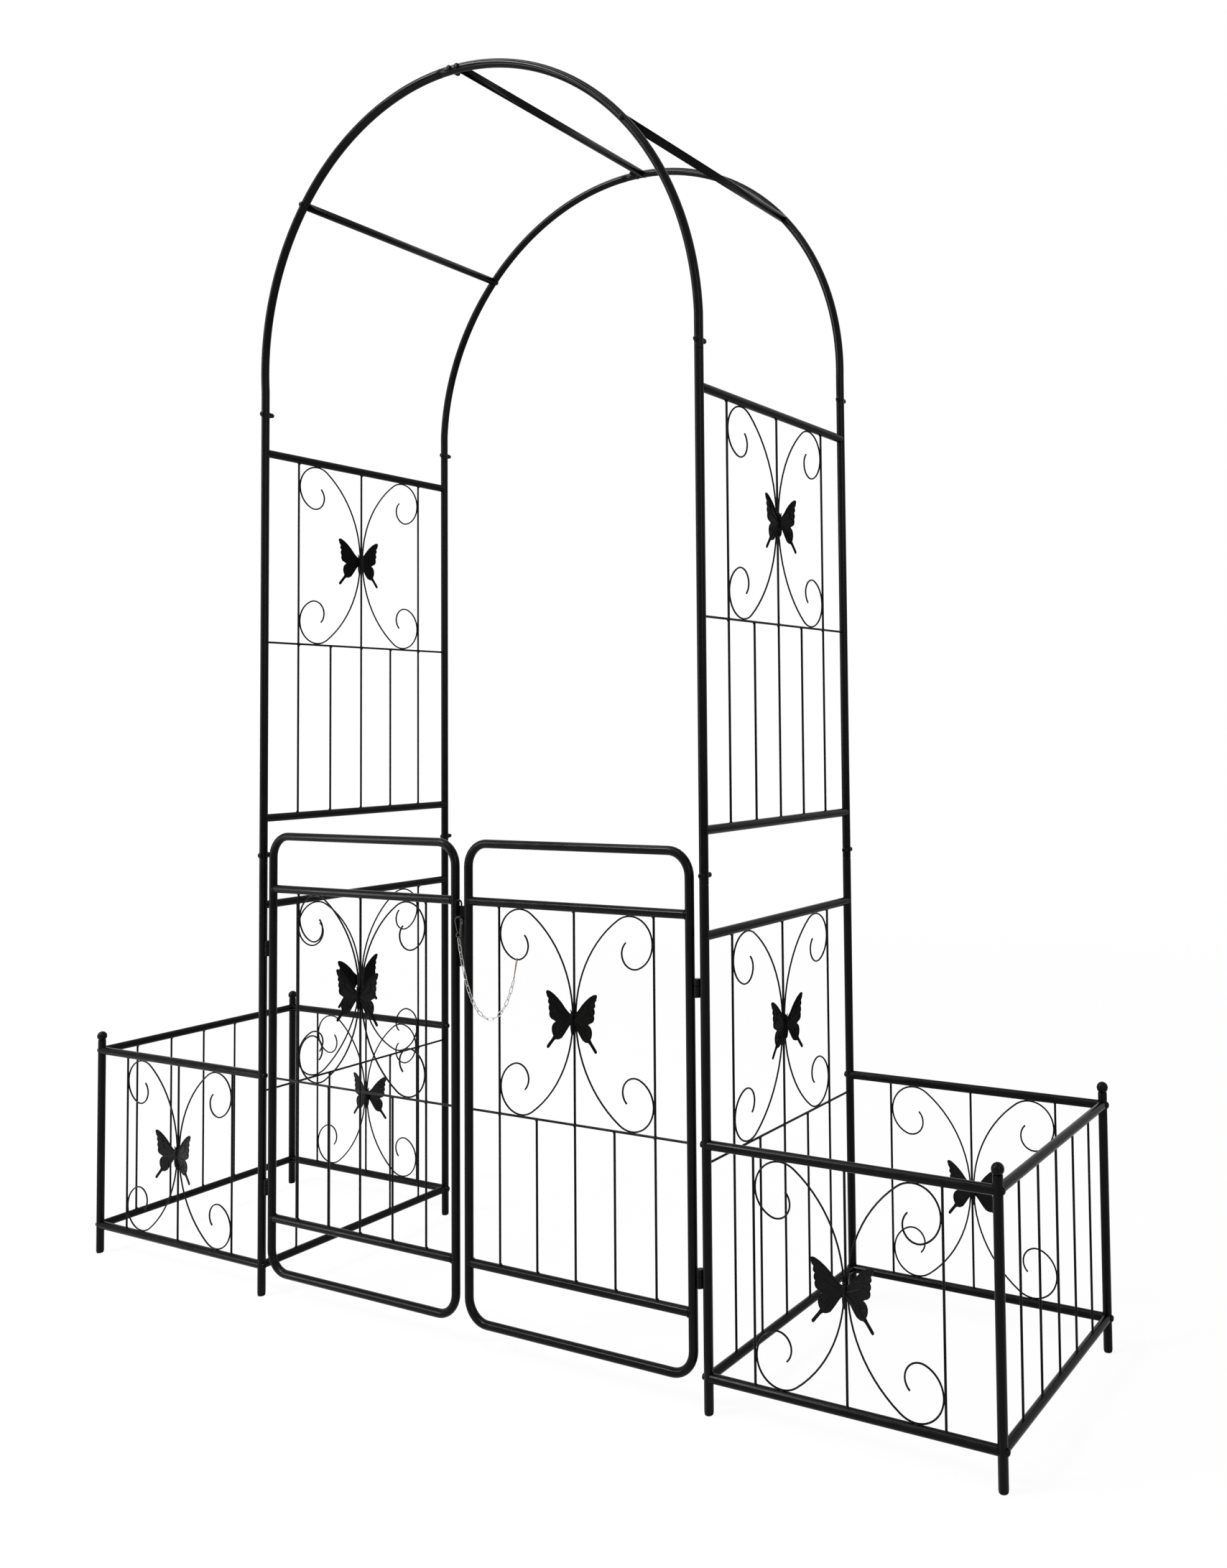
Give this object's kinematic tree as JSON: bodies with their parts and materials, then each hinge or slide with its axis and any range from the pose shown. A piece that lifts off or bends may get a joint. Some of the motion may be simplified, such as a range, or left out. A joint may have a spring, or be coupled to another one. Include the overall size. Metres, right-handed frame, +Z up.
{
  "type": "garden arch with gate and planter boxes",
  "caption": "Black steel garden arch with a round top, scrolled side grilles with pressed butterflies, a double gate with a safety chain, and an open planter frame on each side.",
  "frame": {"origin": "centre of the arch's footprint, on the ground", "axes": "+X to the right as seen from the gate side, +Y from the gate side to the back, +Z up"},
  "size_m": [1.981, 0.5612, 2.2174],
  "materials": {
    "paint": "black powder coat, satin",
    "stamped": "black powder coat, satin, on pressed sheet",
    "zinc": "zinc plated, bright",
    "nickel": "plated, slightly yellow"
  },
  "bodies": {
    "arch": {"lower_post_front_left": "paint", "lower_post_front_right": "paint", "lower_post_back_left": "paint", "lower_post_back_right": "paint", "upper_post_front_left": "paint", "upper_post_front_right": "paint", "upper_post_back_left": "paint", "upper_post_back_right": "paint", "hoop_front_left": "paint", "hoop_front_right": "paint", "hoop_back_left": "paint", "hoop_back_right": "paint", "crossbar_left": "paint", "crossbar_right": "paint", "crossbar_top": "paint", "lower_panel_left": "paint", "lower_panel_right": "paint", "upper_panel_left": "paint", "upper_panel_right": "paint", "butterfly_lower_left": "stamped", "butterfly_lower_right": "stamped", "butterfly_upper_left": "stamped", "butterfly_upper_right": "stamped", "planter_post_front_left": "paint", "planter_post_front_right": "paint", "planter_post_back_left": "paint", "planter_post_back_right": "paint", "finial_front_left": "paint", "finial_front_right": "paint", "finial_back_left": "paint", "finial_back_right": "paint", "planter_panel_front_left": "paint", "planter_panel_front_right": "paint", "planter_panel_back_left": "paint", "planter_panel_back_right": "paint", "butterfly_planter_front_left": "stamped", "butterfly_planter_front_right": "stamped", "butterfly_planter_back_left": "stamped", "butterfly_planter_back_right": "stamped", "planter_side_left": "paint", "planter_side_right": "paint", "hinge_pin_lower_left": "paint", "hinge_pin_lower_right": "paint", "hinge_pin_upper_left": "paint", "hinge_pin_upper_right": "paint"},
    "leaf_left": {"gate_left": "paint", "butterfly_gate_left": "stamped", "hinge_barrel_lower_left": "paint", "hinge_barrel_upper_left": "paint", "latch_eye": "paint", "clip_left": "zinc", "clip_right": "nickel", "chain": "zinc"},
    "leaf_right": {"gate_right": "paint", "butterfly_gate_right": "stamped", "hinge_barrel_lower_right": "paint", "hinge_barrel_upper_right": "paint", "stop_strip": "paint"}
  },
  "joints": [
    {"name": "gate_left_hinge", "type": "hinge", "parent": "arch", "child": "leaf_left", "pos_m": [-0.48625, -0.24, 0], "axis": [0, 0, -1], "range_deg": [-80, 90], "deforming": ["chain", "clip_left", "clip_right"]},
    {"name": "gate_right_hinge", "type": "hinge", "parent": "arch", "child": "leaf_right", "pos_m": [0.48625, -0.24, 0], "axis": [0, 0, 1], "range_deg": [-80, 90]}
  ]
}
